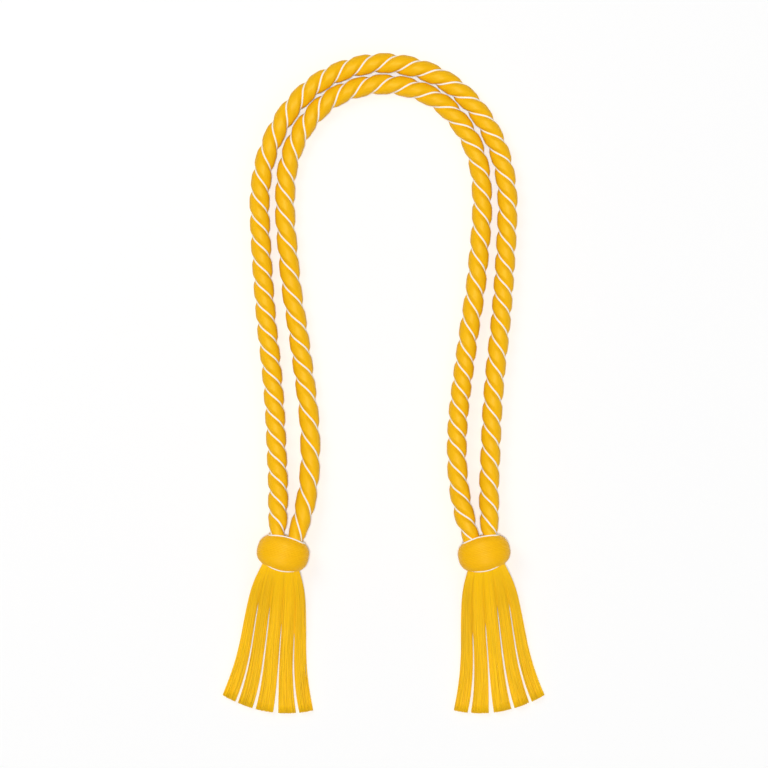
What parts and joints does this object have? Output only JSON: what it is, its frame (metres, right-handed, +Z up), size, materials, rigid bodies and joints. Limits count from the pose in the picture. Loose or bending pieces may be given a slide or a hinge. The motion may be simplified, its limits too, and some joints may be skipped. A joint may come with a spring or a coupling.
{
  "type": "honor cord",
  "caption": "Doubled twisted rope laid in an arch, gathered at each end by an oval wound knot over a tassel of flat locks.",
  "frame": {"origin": "on the surface that the cord lies on, at the middle of the cord's outline seen from above", "axes": "+Y from the tassels to the crown of the arch, +X to the right leg as seen from above, +Z up from the surface"},
  "size_m": [0.3372, 0.6953, 0.038],
  "materials": {
    "rope": "satin twisted rayon yarn, golden yellow",
    "knot": "satin wound yarn, golden yellow",
    "fringe": "satin loose threads, golden yellow"
  },
  "bodies": {
    "root": {"rope_outer": "rope", "rope_inner": "rope", "knot_left": "knot", "knot_right": "knot", "tassel_left": "fringe", "tassel_right": "fringe"}
  },
  "joints": []
}
